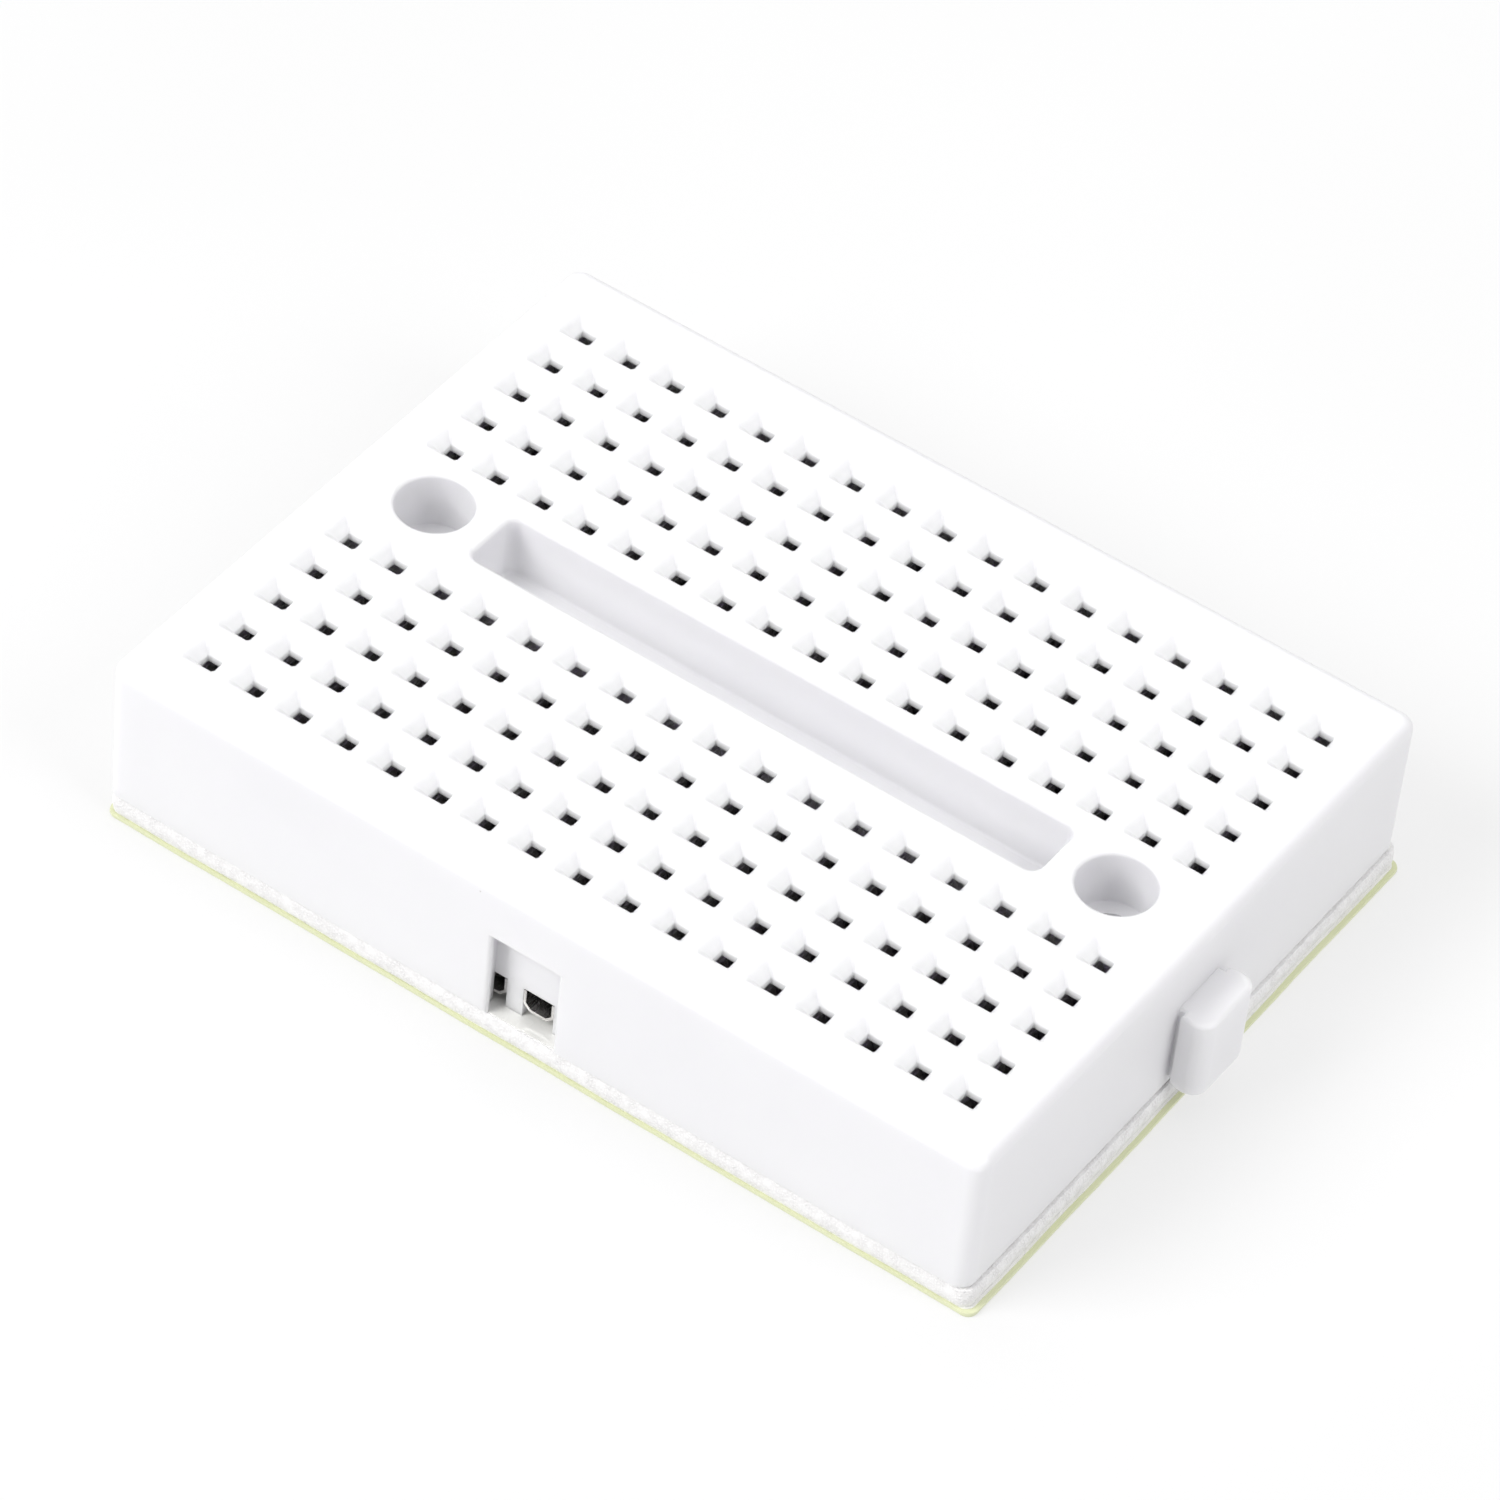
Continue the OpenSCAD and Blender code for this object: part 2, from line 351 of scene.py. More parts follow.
def metalMaterial():
    look = clipMetal
    material, tree, shader = newMaterial("clipMetal", Metallic=1.0)
    rolled = placeGroup(tree, grain, Grain_Size_mm=look["grainMm"], Patch_Size_mm=look["patchMm"],
                        Stretch=look["stretch"])
    edges = placeGroup(tree, edgeHighlight, Start=look["edgeStart"], Strength=look["edgeStrength"])
    patch = rangeNode(tree, rolled.outputs["Tone"], 0.0, 1.0, 0.4, 0.7)
    colour = mixColour(tree, patch, look["colour"], look["dull"])
    # painted highlight: lighter colour on sharply turning edges
    colour = mixColour(tree, edges.outputs["Mask"], colour, look["edge"])
    tree.links.new(colour, shader.inputs["Base Color"])
    finishSurface(tree, shader, rolled, look)
    return material


# The pore colour is painted shade: the foam's pores are darkened by colour where shade falls in them
foamLook = {
    "wall": (0.90, 0.895, 0.895), "poreShade": (0.80, 0.79, 0.79), "cellMm": 0.12, "cellSoftness": 0.3,
    "grainMm": 0.5, "patchMm": 2.5, "roughness": 0.9, "sheen": 0.15,
    "bumpStrength": 0.8, "bumpMm": 0.03,
}


def foamMaterial():
    look = foamLook
    material, tree, shader = newMaterial("whiteFoam", Roughness=look["roughness"],
                                         Sheen_Weight=look["sheen"])
    place = addNode(tree, "ShaderNodeTexCoord")
    cells = addNode(tree, "ShaderNodeTexVoronoi", feature="SMOOTH_F1")
    cells.inputs["Scale"].default_value = 1 / (look["cellMm"] * mm)
    cells.inputs["Smoothness"].default_value = look["cellSoftness"]
    tree.links.new(place.outputs["Object"], cells.inputs["Vector"])
    skin = placeGroup(tree, grain, Grain_Size_mm=look["grainMm"], Patch_Size_mm=look["patchMm"],
                      Stretch=(1, 1, 1))
    depth = rangeNode(tree, cells.outputs["Distance"], 0.0, 1.0, 0.1, 0.65)
    uneven = rangeNode(tree, skin.outputs["Height"], 0.4, 1.3, 0.35, 0.65)
    poreShadeAndDepth = mathNode(tree, "MULTIPLY", depth, uneven)
    # painted shade: darker colour deep in each pore; the same mask also sinks the bump
    colour = mixColour(tree, poreShadeAndDepth, look["wall"], look["poreShade"])
    tree.links.new(colour, shader.inputs["Base Color"])
    height = mathNode(tree, "SUBTRACT", 1.0, poreShadeAndDepth)
    bumpFrom(tree, shader, height, look["bumpStrength"], look["bumpMm"])
    return material


adhesiveLook = {
    "colour": (0.89, 0.89, 0.875), "aged": (0.86, 0.86, 0.83), "bubble": (0.91, 0.91, 0.90),
    "bubbleSpacingMm": 0.45, "bubbleSize": 0.16, "bubbleShare": 0.4, "coat": 0.6, "coatRoughness": 0.12,
    "grainMm": 0.8, "patchMm": 5.0, "roughness": (0.15, 0.4), "bumpStrength": 0.5, "bumpMm": 0.02,
}


def adhesiveMaterial():
    look = adhesiveLook
    material, tree, shader = newMaterial("adhesiveFilm", IOR=1.47, Coat_Weight=look["coat"],
                                         Coat_Roughness=look["coatRoughness"])
    film = placeGroup(tree, grain, Grain_Size_mm=look["grainMm"], Patch_Size_mm=look["patchMm"],
                      Stretch=(1, 1, 1))
    bubbles = placeGroup(tree, specks, Spacing_mm=look["bubbleSpacingMm"], Speck_Size=look["bubbleSize"],
                         Share=look["bubbleShare"])
    patch = rangeNode(tree, film.outputs["Tone"], 0.0, 1.0, 0.35, 0.65)
    colour = mixColour(tree, patch, look["colour"], look["aged"])
    colour = mixColour(tree, bubbles.outputs["Mask"], colour, look["bubble"])
    tree.links.new(colour, shader.inputs["Base Color"])
    finishSurface(tree, shader, film, look)
    return material


linerLook = {
    "colour": (0.68, 0.71, 0.44), "pale": (0.71, 0.735, 0.50), "coat": 0.35, "coatRoughness": 0.25,
    "grainMm": 0.35, "patchMm": 6.0, "stretch": (1, 0.5, 1), "roughness": (0.35, 0.6),
    "bumpStrength": 0.4, "bumpMm": 0.012,
}


def linerMaterial():
    look = linerLook
    material, tree, shader = newMaterial("releaseLiner", IOR=1.45, Coat_Weight=look["coat"],
                                         Coat_Roughness=look["coatRoughness"])
    fibre = placeGroup(tree, grain, Grain_Size_mm=look["grainMm"], Patch_Size_mm=look["patchMm"],
                       Stretch=look["stretch"])
    patch = rangeNode(tree, fibre.outputs["Tone"], 0.0, 1.0, 0.3, 0.7)
    colour = mixColour(tree, patch, look["colour"], look["pale"])
    tree.links.new(colour, shader.inputs["Base Color"])
    finishSurface(tree, shader, fibre, look)
    return material


plastic = plasticMaterial()
metal = metalMaterial()
foam = foamMaterial()
adhesive = adhesiveMaterial()
linerPaper = linerMaterial()
print("materials made")


# The moulding, in millimetres
housing = {
    "cornerRadius": 0.8, "edgeRadius": 0.65, "footRadius": 0.15,
    "skin": 1.1, "pitch": 2.54, "columns": 17, "rows": 5, "rowsMiddle": 8.89,
    "mouth": 1.95, "lip": 0.14, "rimRadius": 0.26, "funnelDepth": 0.75, "flare": 1.6, "bend": 0.03,
    "bendRadius": 0.06, "hole": 0.8, "shaftRadius": 0.04, "pocketWidth": 1.66, "pocketPlay": 0.04,
    "pocketEndHeight": 1.75, "smoothAngle": 32,
}
over = 1.0  # how far a cutter reaches past the surface that it opens


# Cutter for one tie point: a straight square shaft, then a funnel that is steep at the shaft and
# flares out into the deck
def tiePointCutter():
    h = housing
    hole = h["hole"] / 2
    rim = h["mouth"] / 2 + h["lip"]
    bend = h["bend"]
    steps = 4
    # half width, corner radius and height of each square ring, from the pocket upwards
    rings = [(hole, h["shaftRadius"], -h["skin"] - 0.1),
             (hole, h["shaftRadius"], -h["funnelDepth"] - bend)]
    for i in range(steps + 1):
        share = i / steps
        half = hole + bend + (rim - hole - bend) * share
        radius = h["bendRadius"] + (h["rimRadius"] - h["bendRadius"]) * share
        rings.append((half, radius, (bend - h["funnelDepth"]) * (1 - share) ** h["flare"]))
    rings.append((rim, h["rimRadius"], 0.3))
    bm = bmesh.new()
    loops = [raised(roundedOutline(half, half, radius, 1), z) for half, radius, z in rings]
    solidFromRings(bm, loops)
    return meshObject("tiePointCutter", bm)


# Repeats the cutter over a block of columns and rows
def cutterFieldTree():
    tree, ids, enter, leave = newTree(
        "tiePointField", "GeometryNodeTree",
        [("Geometry", "geometry"), ("Cutter", "object"), ("Columns", "int"), ("Rows", "int"),
         ("Pitch", "float"), ("Middle", "vector"), ("Finish", "material")],
        [("Geometry", "geometry")])
    link = tree.links.new
    grid = addNode(tree, "GeometryNodeMeshGrid")
    for count, axis in (("Columns", "X"), ("Rows", "Y")):
        gaps = mathNode(tree, "SUBTRACT", enter.outputs[count], 1)
        link(mathNode(tree, "MULTIPLY", gaps, enter.outputs["Pitch"]), grid.inputs["Size " + axis])
        link(enter.outputs[count], grid.inputs["Vertices " + axis])
    cutter = addNode(tree, "GeometryNodeObjectInfo")
    link(enter.outputs["Cutter"], cutter.inputs["Object"])
    spread = addNode(tree, "GeometryNodeInstanceOnPoints")
    link(grid.outputs["Mesh"], spread.inputs["Points"])
    link(cutter.outputs["Geometry"], spread.inputs["Instance"])
    move = addNode(tree, "GeometryNodeTransform")
    link(spread.outputs[0], move.inputs[0])
    link(enter.outputs["Middle"], move.inputs["Translation"])
    real = addNode(tree, "GeometryNodeRealizeInstances")
    link(move.outputs[0], real.inputs[0])
    paint = addNode(tree, "GeometryNodeSetMaterial")
    link(real.outputs[0], paint.inputs["Geometry"])
    link(enter.outputs["Finish"], paint.inputs["Material"])
    link(paint.outputs[0], leave.inputs[0])
    return tree, ids


def emptyObject(name):
    obj = bpy.data.objects.new(name, bpy.data.meshes.new(name))
    bpy.context.scene.collection.objects.link(obj)
    return obj


# Block with round upright corners, round top edges and a small radius at the foot
def housingBlock():
    h = housing
    levels = [(h["footRadius"] * near, baseZ + h["footRadius"] * far) for near, far in quarterRound(2)]
    levels += [(h["edgeRadius"] * far, deckZ - h["edgeRadius"] * near) for near, far in quarterRound(6)]
    loops = []
    for inset, z in levels:
        outline = roundedOutline(bodyHalf[0] - inset, bodyHalf[1] - inset, h["cornerRadius"] - inset)
        loops.append(raised(outline, z))
    bm = bmesh.new()
    solidFromRings(bm, loops)
    return meshObject("housing_shell", bm)


interlock = {
    "neck": 3.2, "head": 4.1, "headBack": 3.86, "neckLength": 0.3, "headRadius": 0.8, "root": 0.4,
    "bottom": 0.4, "top": 4.85, "softEdge": 0.2, "play": 0.05, "mouthPlay": 0.2, "lip": 0.25,
    "mouthRadius": 0.2,
    "endTab": 1.8, "backTab": 0.9, "endSlot": 1.85, "frontSlot": 0.95,
    "endShift": -0.1, "longSideShift": -0.3,
}


# Plan of a tab that stands out along +Y, drawn in by inset
def tabOutline(length, inset):
    t = interlock
    neck = t["neck"] / 2 - inset
    head = t["head"] / 2 - inset
    headBack = t["headBack"] / 2 - inset
    back = t["neckLength"] + inset
    radius = min(t["headRadius"], (length - t["neckLength"]) * 0.6)
    front = length - inset
    root = -t["root"]
    points = [(neck, root), (neck, back), (headBack, back)]
    points += arcPoints(head - radius, front - radius, radius, 0, 90, 5)
    points += arcPoints(-head + radius, front - radius, radius, 90, 180, 5)
    points += [(-headBack, back), (-neck, back), (-neck, root)]
    return points


def addTab(bm, length, turn, place):
    t = interlock
    soft = t["softEdge"]
    turns = quarterRound(4)
    levels = [(soft * near, baseZ + t["bottom"] + soft * far) for near, far in turns]
    levels += [(soft * far, baseZ + t["top"] - soft * near) for near, far in turns]
    loops = []
    for inset, z in levels:
        loop = [turn @ Vector((x, y, z)) + Vector(place) for x, y in tabOutline(length, inset)]
        loops.append(loop)
    solidFromRings(bm, loops)


# Slot with lips at its mouth, open below, cut in along +Y
def addSlot(bm, depth, turn, place):
    t = interlock
    mouth = t["neck"] / 2 + t["mouthPlay"]
    inner = t["head"] / 2 + t["play"]
    r = t["mouthRadius"]
    half = [(mouth + r, -over), (mouth + r, 0.0)]
    half += arcPoints(mouth + r, r, r, 270, 180, 4)[1:]
    half += [(mouth, t["lip"]), (inner, t["lip"]), (inner, depth)]
    outline = half + [(-x, y) for x, y in reversed(half)]
    loops = []
    for z in (baseZ - over, baseZ + t["top"] + 2 * t["play"]):
        loops.append([turn @ Vector((x, y, z)) + Vector(place) for x, y in outline])
    solidFromRings(bm, loops)


openings = {
    "channelLength": 30.7, "channelWidth": 3.4, "channelDepth": 3.4, "channelRadius": 0.6,
    "channelFloor": 1.2, "channelLip": 0.3, "channelFillet": 0.18, "coreEndWall": 0.4, "coreSideWall": 0.1,
    "screwSpacing": 37.0, "headDiameter": 3.7, "headDepth": 3.0, "headLip": 0.2, "headFillet": 0.06,
    "shankDiameter": 2.2,
}


# Sunk shape whose rim rolls over into the deck; outlineAt gives its outline drawn out by an offset
def addSunkShape(bm, outlineAt, lip, depth, fillet):
    loops = [raised(outlineAt(-fillet * far), deckZ - depth + fillet * near)
             for near, far in reversed(quarterRound(3))]
    loops += [raised(outlineAt(lip * near), deckZ - lip * far)
              for near, far in reversed(quarterRound(5))]
    loops.append(raised(outlineAt(lip), deckZ + over))
    solidFromRings(bm, loops)


def circleOutline(x, radius, count=48):
    turns = [2 * math.pi * i / count for i in range(count)]
    return [(x + radius * math.cos(a), radius * math.sin(a)) for a in turns]


def deckCutters():
    o = openings
    bm = bmesh.new()
    halfX = o["channelLength"] / 2
    halfY = o["channelWidth"] / 2

    def channelAt(offset):
        return roundedOutline(halfX + offset, halfY + offset, o["channelRadius"] + offset)

    addSunkShape(bm, channelAt, o["channelLip"], o["channelDepth"], o["channelFillet"])
    for side in (-1, 1):
        def headAt(offset, x=side * o["screwSpacing"] / 2):
            return circleOutline(x, o["headDiameter"] / 2 + offset)

        addSunkShape(bm, headAt, o["headLip"], o["headDepth"], o["headFillet"])
    t = interlock
    addSlot(bm, t["frontSlot"], Matrix.Identity(3), (t["longSideShift"], -bodyHalf[1], 0))
    addSlot(bm, t["endSlot"], Matrix.Rotation(-math.pi / 2, 3, "Z"), (-bodyHalf[0], t["endShift"], 0))
    return meshObject("deckCutters", bm)


# Box across a clip's pocket, between two distances from the centre line on the clip's own side
def addPocketBox(bm, node, inner, outer, bottom, top):
    low, high = boxInMm(node)
    middle = (low.x + high.x) / 2
    half = housing["pocketWidth"] / 2
    side = 1 if low.y > 0 else -1
    y0, y1 = sorted((side * inner, side * outer))
    boxCutter(bm, (middle - half, y0, bottom), (middle + half, y1, top))


# Hollows on the underside: tall part of each contact pocket, channel core and screw shanks
def undersideCutters():
    h = housing
    o = openings
    bm = bmesh.new()
    reach = h["rows"] * h["pitch"] / 2 + h["pocketPlay"]
    for name in clipNames:
        addPocketBox(bm, name, h["rowsMiddle"] - reach, h["rowsMiddle"] + reach,
                     baseZ - over, deckZ - h["skin"])
    core = roundedOutline(o["channelLength"] / 2 - o["coreEndWall"],
                          o["channelWidth"] / 2 - o["coreSideWall"], o["channelRadius"])
    coreTop = deckZ - o["channelDepth"] - o["channelFloor"]
    solidFromRings(bm, [raised(core, baseZ - over), raised(core, coreTop)])
    for side in (-1, 1):
        shank = circleOutline(side * o["screwSpacing"] / 2, o["shankDiameter"] / 2)
        shankTop = deckZ - o["headDepth"] + over / 2
        solidFromRings(bm, [raised(shank, baseZ - over), raised(shank, shankTop)])
    return meshObject("undersideCutters", bm)


# Low outer end of each pocket, where a clip's trough runs out past its leaves
def pocketEndCutters():
    h = housing
    bm = bmesh.new()
    for name in clipNames:
        low, high = boxInMm(name)
        outer = max(abs(low.y), abs(high.y)) + h["pocketPlay"]
        addPocketBox(bm, name, h["rowsMiddle"], outer, baseZ - over / 2, baseZ + h["pocketEndHeight"])
    return meshObject("pocketEndCutters", bm)


def makeHousing():
    h = housing
    t = interlock
    shell = housingBlock()
    bm = bmesh.new()
    addTab(bm, t["endTab"], Matrix.Rotation(-math.pi / 2, 3, "Z"), (bodyHalf[0], t["endShift"], 0))
    addTab(bm, t["backTab"], Matrix.Identity(3), (t["longSideShift"], bodyHalf[1], 0))
    cutWith(shell, meshObject("tabs", bm), "UNION")
    cutWith(shell, deckCutters())
    cutWith(shell, undersideCutters())
    cutWith(shell, pocketEndCutters())
    print("housing shell cut:", len(shell.data.polygons), "faces")

    cutter = tiePointCutter()
    tree, ids = cutterFieldTree()
    for side in (-1, 1):
        field = emptyObject("tieField")
        runTree(field, tree, ids, {
            "Cutter": cutter, "Columns": h["columns"], "Rows": h["rows"], "Pitch": h["pitch"],
            "Middle": (0.0, side * h["rowsMiddle"], deckZ), "Finish": plastic})
        cutWith(shell, field)
    bpy.data.objects.remove(cutter)
    smoothByAngle(shell, h["smoothAngle"])
    weight = shell.modifiers.new("weight", "WEIGHTED_NORMAL")
    weight.keep_sharp = True
    bakeModifiers(shell)
    print("tie points cut:", len(shell.data.polygons), "faces")
    shell.name = "housing_moulding"
    return finishPiece(shell, "board", ["housing"], plastic)


makeHousing()


# The contact clips, in millimetres
clip = {
    "sheet": 0.15, "flat": 1.02, "lift": 0.5, "wall": 1.65, "troughBend": 0.08,
    "leafWidth": 2.0, "tipWidth": 1.5, "taperFrom": 0.55, "leafBend": 0.45, "leafSink": 0.25,
    "gap": 0.08, "flare": 0.3, "rootRise": 0.5, "tipDrop": 0.35, "gripDrop": 1.45,
    "spread": 0.05, "seed": 11, "smoothAngle": 40,
}


# Path with its corners rounded to the given radius
def roundedPath(points, radius, steps=4):
    made = [Vector(points[0])]
    for before, here, after in zip(points, points[1:], points[2:]):
        a, b, c = Vector(before), Vector(here), Vector(after)
        cut = min(radius, (a - b).length * 0.45, (c - b).length * 0.45)
        start = b + (a - b).normalized() * cut
        end = b + (c - b).normalized() * cut
        for i in range(steps + 1):
            f = i / steps
            made.append(start.lerp(b, f).lerp(b.lerp(end, f), f))
    made.append(Vector(points[-1]))
    return made


# Unit vector across the path at point i
def sidewaysOf(path, i):
    ahead = path[min(i + 1, len(path) - 1)] - path[max(i - 1, 0)]
    return Vector((-ahead.y, ahead.x)).normalized()


# Bent strip in the X-Z plane, widthAt giving its width along Y at each share of the path
def addStrip(bm, path, thickness, middleY, widthAt):
    loops = []
    for i, p in enumerate(path):
        n = sidewaysOf(path, i) * thickness / 2
        half = widthAt(i / (len(path) - 1)) / 2
        a, b = p + n, p - n
        loops.append([(a.x, middleY - half, a.y), (a.x, middleY + half, a.y),
                      (b.x, middleY + half, b.y), (b.x, middleY - half, b.y)])
    solidFromRings(bm, loops)


def clipHeights():
    return {
        "bottom": baseZ + clip["lift"] + clip["sheet"] / 2,
        "wall": baseZ + clip["wall"],
        "root": baseZ + clip["wall"] + clip["rootRise"],
        "grip": deckZ - housing["skin"] - clip["gripDrop"],
        "tip": deckZ - housing["skin"] - clip["tipDrop"],
    }


def leafPair():
    c = clip
    z = clipHeights()
    side = (housing["pocketWidth"] - c["sheet"]) / 2
    grip = (c["gap"] + c["sheet"]) / 2
    corners = [(side, z["wall"] - c["leafSink"]), (side, z["root"]), (grip, z["grip"]),
               (grip + c["flare"], z["tip"])]

    def widthAt(share):
        taper = max(0, share - c["taperFrom"]) / (1 - c["taperFrom"])
        return c["leafWidth"] - (c["leafWidth"] - c["tipWidth"]) * taper

    bm = bmesh.new()
    for sign in (1, -1):
        path = roundedPath([(sign * x, y) for x, y in corners], c["leafBend"])
        addStrip(bm, path, c["sheet"], 0.0, widthAt)
    return meshObject("leafPair", bm)


# Trough: flat bottom, rounded bevels and low upright sides, from the inner to the outer end
def clipTrough(innerY, outerY):
    c = clip
    z = clipHeights()
    side = (housing["pocketWidth"] - c["sheet"]) / 2
    flat = (c["flat"] - c["sheet"]) / 2
    bevel = z["bottom"] + side - flat
    corners = [(-side, z["wall"]), (-side, bevel), (-flat, z["bottom"]), (flat, z["bottom"]),
               (side, bevel), (side, z["wall"])]
    path = roundedPath(corners, c["troughBend"], 3)
    outline = [path[i] + sidewaysOf(path, i) * c["sheet"] / 2 for i in range(len(path))]
    outline += [path[i] - sidewaysOf(path, i) * c["sheet"] / 2 for i in reversed(range(len(path)))]
    bm = bmesh.new()
    loops = [[(p.x, y, p.y) for p in outline] for y in (innerY, outerY)]
    solidFromRings(bm, loops)
    return meshObject("clipTrough", bm)


# Adds a leaf pair at each tie point to the trough
def leafRowTree():
    tree, ids, enter, leave = newTree(
        "leafRow", "GeometryNodeTree",
        [("Geometry", "geometry"), ("Leaf Pair", "object"), ("Count", "int"), ("Pitch", "float"),
         ("First", "vector"), ("Finish", "material")],
        [("Geometry", "geometry")])
    link = tree.links.new
    step = addNode(tree, "ShaderNodeCombineXYZ")
    link(enter.outputs["Pitch"], step.inputs["Y"])
    line = addNode(tree, "GeometryNodeMeshLine")
    link(enter.outputs["Count"], line.inputs["Count"])
    link(enter.outputs["First"], line.inputs["Start Location"])
    link(step.outputs[0], line.inputs["Offset"])
    leaf = addNode(tree, "GeometryNodeObjectInfo")
    link(enter.outputs["Leaf Pair"], leaf.inputs["Object"])
    spread = addNode(tree, "GeometryNodeInstanceOnPoints")
    link(line.outputs["Mesh"], spread.inputs["Points"])
    link(leaf.outputs["Geometry"], spread.inputs["Instance"])
    join = addNode(tree, "GeometryNodeJoinGeometry")
    link(spread.outputs[0], join.inputs[0])
    link(enter.outputs["Geometry"], join.inputs[0])
    real = addNode(tree, "GeometryNodeRealizeInstances")
    link(join.outputs[0], real.inputs[0])
    paint = addNode(tree, "GeometryNodeSetMaterial")
    link(real.outputs[0], paint.inputs["Geometry"])
    link(enter.outputs["Finish"], paint.inputs["Material"])
    link(paint.outputs[0], leave.inputs[0])
    return tree, ids


def makeClips():
    low, high = boxInMm("clip_b01")
    trough = clipTrough(low.y, high.y)
    pair = leafPair()
    tree, ids = leafRowTree()
    h = housing
    firstY = h["rowsMiddle"] - (h["rows"] - 1) / 2 * h["pitch"]
    runTree(trough, tree, ids, {
        "Leaf Pair": pair, "Count": h["rows"], "Pitch": h["pitch"],
        "First": (0.0, firstY, 0.0), "Finish": metal})
    smoothByAngle(trough, clip["smoothAngle"])
    chance = random.Random(clip["seed"])
    z = clipHeights()
    grip, root = z["grip"], z["root"]
    for name in clipNames:
        boxLow, boxHigh = boxInMm(name)
        mesh = trough.data.copy()
        # each leaf keeps a slightly different gap, as used contacts do
        lean = [chance.uniform(0, clip["spread"]) for _ in range(2 * h["rows"])]
        for v in mesh.vertices:
            if v.co.z > root:
                row = round((v.co.y - firstY) / h["pitch"])
                share = min(1, (v.co.z - root) / (grip - root))
                sign = 1 if v.co.x > 0 else -1
                v.co.x += sign * share * lean[2 * row + (sign > 0)]
        if boxLow.y < 0:
            mesh.transform(Matrix.Scale(-1, 4, (0, 1, 0)))
            mesh.flip_normals()
        mesh.transform(Matrix.Translation(((boxLow.x + boxHigh.x) / 2, 0, 0)))
        obj = bpy.data.objects.new("contact_" + name[5:], mesh)
        bpy.context.scene.collection.objects.link(obj)
        finishPiece(obj, "board", [name], metal)
    bpy.data.objects.remove(trough)
    bpy.data.objects.remove(pair)
    print("contact clips made:", len(clipNames))


makeClips()


# How the edges of the cut layers differ from straight, in millimetres
backing = {
    "corner": 0.6, "step": 0.24, "seed": 4.7, "smoothAngle": 50,
    "waveScale": 0.22, "waveMiddle": 0.35, "gritScale": 3.1, "gritScaleZ": 4.3, "gritMiddle": 0.5,
    "foam_pad": {
        "levels": 9, "inset": 0.07, "bulge": 0.1, "endInset": 0.15, "wave": 0.05, "grit": 0.045},
    "upper_adhesive": {
        "levels": 2, "inset": 0.15, "bulge": 0.0, "endInset": 0.35, "wave": 0.07, "grit": 0.01},
    "lower_adhesive": {
        "levels": 2, "inset": 0.1, "bulge": 0.0, "endInset": 0.0, "wave": 0.07, "grit": 0.01},
    "release_liner": {
        "levels": 4, "inset": 0.06, "bulge": 0.02, "endInset": -0.08, "wave": 0.04, "grit": 0.012},
}


# Points along a rounded rectangle at an even spacing, with the outward direction at each
def evenOutline(low, high, corner, step):
    middleX, middleY = (low.x + high.x) / 2, (low.y + high.y) / 2
    rough = roundedOutline((high.x - low.x) / 2, (high.y - low.y) / 2, corner, 8)
    made = []
    for a, b in zip(rough, rough[1:] + rough[:1]):
        run = Vector(b) - Vector(a)
        count = max(1, round(run.length / step))
        for i in range(count):
            p = Vector(a) + run * (i / count)
            out = Vector((run.y, -run.x)).normalized()
            made.append((Vector((p.x + middleX, p.y + middleY)), out))
    return made


# Cut layer of the backing: its edge wanders slowly and is roughened by fine grit
def cutLayer(node):
    b = backing
    look = b[node]
    low, high = boxInMm(node)
    outline = evenOutline(low, high, b["corner"], b["step"])
    levels = look["levels"]
    bm = bmesh.new()
    loops = []
    for level in range(levels):
        share = level / (levels - 1)
        z = low.z + (high.z - low.z) * share
        bulge = look["bulge"] * (1 - (2 * share - 1) ** 2)
        loop = []
        for p, out in outline:
            slow = p * b["waveScale"]
            fine = p * b["gritScale"]
            wander = noise.noise(Vector((slow.x, slow.y, b["seed"]))) - b["waveMiddle"]
            grit = noise.noise(Vector((fine.x, fine.y, z * b["gritScaleZ"] + b["seed"]))) - b["gritMiddle"]
            push = bulge - look["inset"] + look["wave"] * min(0, wander) + look["grit"] * grit
            push -= look["endInset"] * max(0, out.x)
            q = p + out * push
            loop.append((q.x, q.y, z))
        loops.append(loop)
    solidFromRings(bm, loops)
    bmesh.ops.triangulate(bm, faces=[f for f in bm.faces if len(f.verts) > 4])
    obj = meshObject(node + "_cut", bm)
    smoothByAngle(obj, b["smoothAngle"])
    return obj


def makeBacking():
    finishPiece(cutLayer("upper_adhesive"), "board", ["upper_adhesive"], adhesive)
    pad = finishPiece(cutLayer("foam_pad"), "board", ["foam_pad"], foam)
    finishPiece(cutLayer("lower_adhesive"), "board", ["lower_adhesive"], adhesive)
    finishPiece(cutLayer("release_liner"), "liner", ["release_liner"], linerPaper)
    print("backing made")


makeBacking()


# Floor and lights, in metres and watts
studio = {
    "floorSize": 3.0, "floorDrop": 0.00003, "floorColour": (0.33, 0.33, 0.33),
    "floorTone": (0.31, 0.31, 0.31), "floorGlow": 0.575, "floorRoughness": 0.8, "floorShine": 0.1,
    "skyStrength": 0.33, "skyColour": (1.0, 1.0, 1.0),
    "keyPlace": (-0.386, -0.572, 0.579), "keySize": 0.5, "keyPower": 6.1,
    "sidePlace": (0.669, 0.0, 0.602), "sideSize": 0.5, "sidePower": 2.8,
    "topPlace": (-0.15, 0.25, 0.9), "topSize": 1.4, "topPower": 5.3,
    "lightTarget": (0, 0, 0.004),
}

# The lens is long, so the view is nearly parallel; angles in degrees, places in metres
viewpoint = {
    "lens": 183.8, "sensor": 36.0, "azimuth": 30.82, "elevation": 44.91, "roll": 6.47,
    "aim": (0.00113, -0.00297, 0.00865), "distance": 0.33624, "near": 0.01, "far": 20.0,
}


def aimedRotation(place, target):
    return (Vector(target) - Vector(place)).to_track_quat("-Z", "Y")


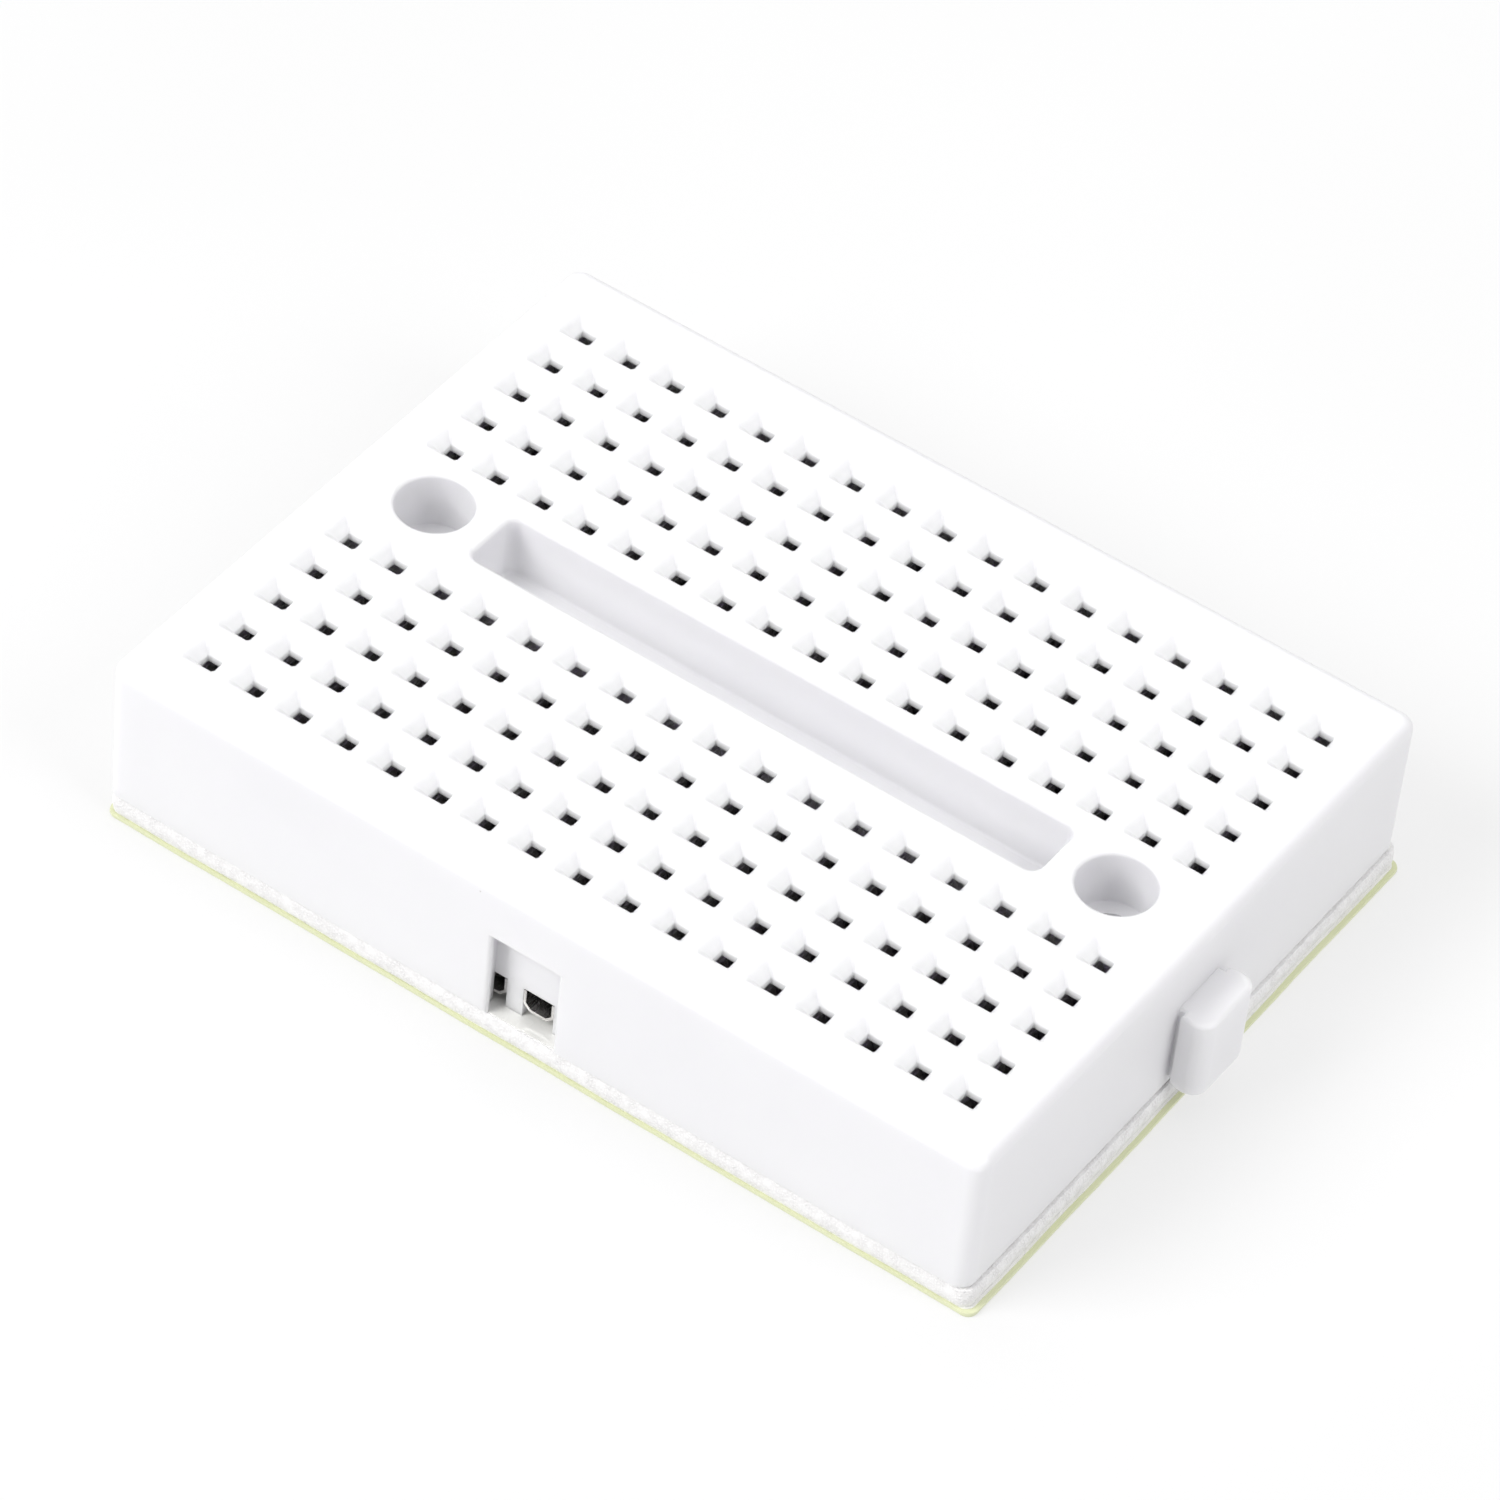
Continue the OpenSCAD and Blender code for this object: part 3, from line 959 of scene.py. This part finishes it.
def areaLight(name, place, size, power):
    data = bpy.data.lights.new(name, "AREA")
    data.shape = "SQUARE"
    data.size = size
    data.energy = power
    obj = bpy.data.objects.new(name, data)
    bpy.context.scene.collection.objects.link(obj)
    obj.location = place
    obj.rotation_mode = "QUATERNION"
    obj.rotation_quaternion = aimedRotation(place, studio["lightTarget"])
    return obj


def makeFloor():
    bm = bmesh.new()
    half = studio["floorSize"] / 2
    corners = [(-half, -half), (half, -half), (half, half), (-half, half)]
    bm.faces.new(addRing(bm, raised(corners, -studio["floorDrop"])))
    floor = meshObject("floor", bm)
    material, tree, shader = newMaterial(
        "paperFloor", Roughness=studio["floorRoughness"], Specular_IOR_Level=studio["floorShine"],
        Emission_Color=(1, 1, 1, 1), Emission_Strength=studio["floorGlow"])
    weave = placeGroup(tree, grain, Grain_Size_mm=0.6, Patch_Size_mm=60.0, Stretch=(1, 1, 1))
    colour = mixColour(tree, rangeNode(tree, weave.outputs["Tone"], 0, 1, 0.3, 0.7),
                       studio["floorColour"], studio["floorTone"])
    tree.links.new(colour, shader.inputs["Base Color"])
    bumpFrom(tree, shader, weave.outputs["Height"], 0.1, 0.02)
    floor.data.materials.append(material)


def makeStudio():
    s = studio
    world = bpy.data.worlds.new("studioSky")
    world.use_nodes = True
    sky = world.node_tree.nodes["Background"]
    sky.inputs["Color"].default_value = (*s["skyColour"], 1)
    sky.inputs["Strength"].default_value = s["skyStrength"]
    bpy.context.scene.world = world
    for light in ("key", "side", "top"):
        areaLight(light + "Light", s[light + "Place"], s[light + "Size"], s[light + "Power"])
    bpy.context.scene.view_settings.view_transform = "Standard"
    makeFloor()


def makeCamera():
    v = viewpoint
    azimuth, elevation = math.radians(v["azimuth"]), math.radians(v["elevation"])
    forward = Vector((-math.sin(azimuth) * math.cos(elevation), math.cos(azimuth) * math.cos(elevation),
                      -math.sin(elevation)))
    data = bpy.data.cameras.new("productCamera")
    data.lens = v["lens"]
    data.sensor_width = v["sensor"]
    data.clip_start = v["near"]
    data.clip_end = v["far"]
    camera = bpy.data.objects.new("productCamera", data)
    bpy.context.scene.collection.objects.link(camera)
    camera.location = Vector(v["aim"]) - forward * v["distance"]
    level = forward.to_track_quat("-Z", "Y").to_matrix().to_4x4()
    turn = level @ Matrix.Rotation(math.radians(v["roll"]), 4, "Z")
    camera.rotation_mode = "QUATERNION"
    camera.rotation_quaternion = turn.to_quaternion()
    bpy.context.scene.camera = camera


makeStudio()
makeCamera()
print("studio ready")
